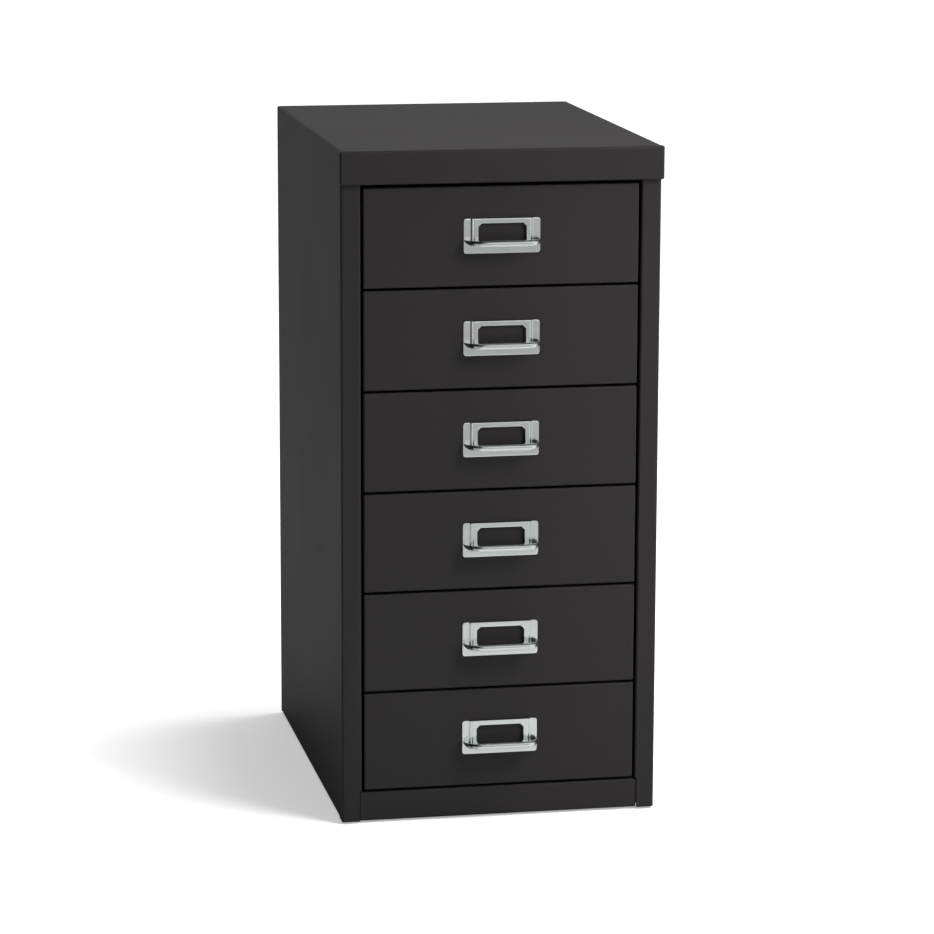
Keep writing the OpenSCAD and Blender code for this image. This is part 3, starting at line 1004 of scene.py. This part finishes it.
@dataclass
class Studio:
    """Pale floor, white surroundings, cards that only a gloss sees, soft lamps and the camera."""

    image_px: float = 934.0
    focal_px: float = 3680.4
    sensor_mm: float = 36.0
    far_clip: float = 100.0
    eye: Triple = (-0.6203, -3.23395, 0.9411)
    turn_deg: float = 10.948
    tilt_deg: float = 11.388
    roll_deg: float = -0.184
    sky_level: float = 0.17
    gloss_level: float = 0.36
    floor_half: float = 15.0
    floor_paint: FloorPaint = FloorPaint("studio_floor")
    # Cards that only a gloss sees: those at glow 0 put painted shade into reflections, and the glowing
    # black ones put painted highlights there.
    cards: tuple[Card, ...] = (
        Card("card_over", 0.0, (-3.0, -3.0, 2.2), (0.7, 0.6, 2.2)),
        Card("card_left", 0.0, (-1.6, -1.6, 0.0), (-1.6, 0.4, 2.2)),
        Card("card_ahead", 0.85, (-0.5, -4.2, 0.3), (3.0, -4.2, 1.5)),
        Card("card_right", 0.8, (1.3, -1.8, 0.0), (1.3, -0.4, 1.2)),
        Card("card_high", 0.7, (0.1, -1.4, 1.2), (1.1, -0.4, 1.2)),
    )
    sun_turn_deg: float = 4.0
    sun_height_deg: float = 72.0
    sun_soft_deg: float = 26.0
    sun_level: float = 2.4
    sun_off: float = 4.0
    boxes: tuple[SoftBox, ...] = (
        SoftBox("ceiling_box", 4.0, 32.0, (0.6, -0.4, 3.0), (0.6, -0.4, 0.0)),
        SoftBox("high_box", 0.40, 11.5, (0.60, -0.85, 1.05), (0.05, -0.19, 0.40)),
        SoftBox("low_box", 0.30, 1.8, (0.55, -0.60, 0.30), (0.10, -0.19, 0.25)),
        SoftBox("left_box", 1.5, 2.0, (-2.0, 0.4, 0.9), (-0.14, 0.0, 0.3)),
        SoftBox("rear_box", 1.5, 7.0, (0.8, 2.3, 1.0), (0.0, 0.19, 0.3)),
    )

    def aim_camera(self) -> None:
        """Sets the camera: forward is (sin t cos p, cos t cos p, -sin p), turn t, tilt p."""
        data = bpy.data.cameras.new("camera")
        data.sensor_width = self.sensor_mm
        data.lens = self.focal_px * self.sensor_mm / self.image_px
        data.clip_end = self.far_clip
        t, p, roll = (math.radians(v) for v in (self.turn_deg, self.tilt_deg, self.roll_deg))
        forward = Vector((math.sin(t) * math.cos(p), math.cos(t) * math.cos(p), -math.sin(p)))
        level = Vector((math.cos(t), -math.sin(t), 0.0))
        down = forward.cross(level)
        right = math.cos(roll) * level + math.sin(roll) * down
        up = -(math.cos(roll) * down - math.sin(roll) * level)
        made = bpy.data.objects.new("camera", data)
        made.matrix_world = Matrix((right, up, -forward)).transposed().to_4x4()
        made.location = Vector(self.eye)
        bpy.context.scene.collection.objects.link(made)
        bpy.context.scene.camera = made

    def light_sky(self) -> None:
        """Adds white surroundings: full white to the camera, less to a gloss, and least as a light."""
        world = bpy.data.worlds.new("studio")
        world.use_nodes = True
        bpy.context.scene.world = world
        tree = ShaderTree(world.node_tree)
        camera, gloss = tree.seen_by(Ray.CAMERA), tree.seen_by(Ray.GLOSSY)
        least = self.sky_level
        level = least + camera * (1.0 - least) + gloss * (self.gloss_level - least)
        light = tree.node("ShaderNodeBackground", None, Color=opaque(grey(1.0)), Strength=level)
        tree.node("ShaderNodeOutputWorld", None, Surface=light.outputs[0])

    def lay_floor(self) -> None:
        """Adds the pale floor, which keeps the object's shadow."""
        ends = ((-1, -1), (1, -1), (1, 1), (-1, 1))
        outline = [Vector((x, y, 0.0)) * self.floor_half for x, y in ends]
        flat_piece("studio_floor", outline, self.floor_paint)

    def stand_cards(self) -> None:
        """Adds the cards: dark over and left of the cabinet, as painted shade for a gloss, and black
        ones that glow ahead of it, on the right and above it, as painted light for a gloss.
        """
        for card in self.cards:
            made = flat_piece(card.name, card.outline(), CardPaint(card.name, card.glow))
            made.visible_camera = False
            made.visible_diffuse = False
            made.visible_shadow = False

    @staticmethod
    def hang(data: bpy.types.Light, place: Vector, aim: Vector) -> None:
        """Hangs a lamp so that it faces a point; neither the camera nor a gloss sees it.

        Args:
            data: The lamp.
            place: Where it hangs, in metres.
            aim: The point it faces.
        """
        made = bpy.data.objects.new(data.name, data)
        made.rotation_mode = "QUATERNION"
        made.rotation_quaternion = (aim - place).to_track_quat("-Z", "Y")
        made.location = place
        made.visible_camera = False
        made.visible_glossy = False
        bpy.context.scene.collection.objects.link(made)

    def hang_lamps(self) -> None:
        """Adds the high soft sun from the right, then the soft boxes."""
        sun = bpy.data.lights.new("key_sun", "SUN")
        sun.energy = self.sun_level
        sun.angle = math.radians(self.sun_soft_deg)
        turn, height = math.radians(self.sun_turn_deg), math.radians(self.sun_height_deg)
        out = math.cos(height)
        towards = Vector((math.cos(turn) * out, -math.sin(turn) * out, math.sin(height)))
        self.hang(sun, towards * self.sun_off, Vector())
        for box in self.boxes:
            lamp = bpy.data.lights.new(box.name, "AREA")
            lamp.size = box.side
            lamp.energy = box.watts
            self.hang(lamp, Vector(box.place), Vector(box.aim))

    def build(self) -> None:
        """Sets the view, the camera, the surroundings, the floor, the cards and the lamps."""
        bpy.context.scene.view_settings.view_transform = "Standard"
        self.aim_camera()
        self.light_sky()
        self.lay_floor()
        self.stand_cards()
        self.hang_lamps()
        LOG.info("studio: camera, floor, %d cards and %d lamps", len(self.cards), len(self.boxes) + 1)


def corners(box: tuple[Vector, Vector]) -> list[list[float]]:
    """Low and high corner of a box as plain lists."""
    return [[float(v) for v in corner] for corner in box]


def main() -> None:
    """Builds every sub-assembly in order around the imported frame."""
    logging.basicConfig(level=logging.INFO, format="%(name)s: %(message)s")
    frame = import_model()
    Studio().build()
    Carcass().build(frame["nodes"])
    for number in range(1, DRAWERS + 1):
        Drawer(number).build(frame["nodes"])


if __name__ == "__main__":
    main()
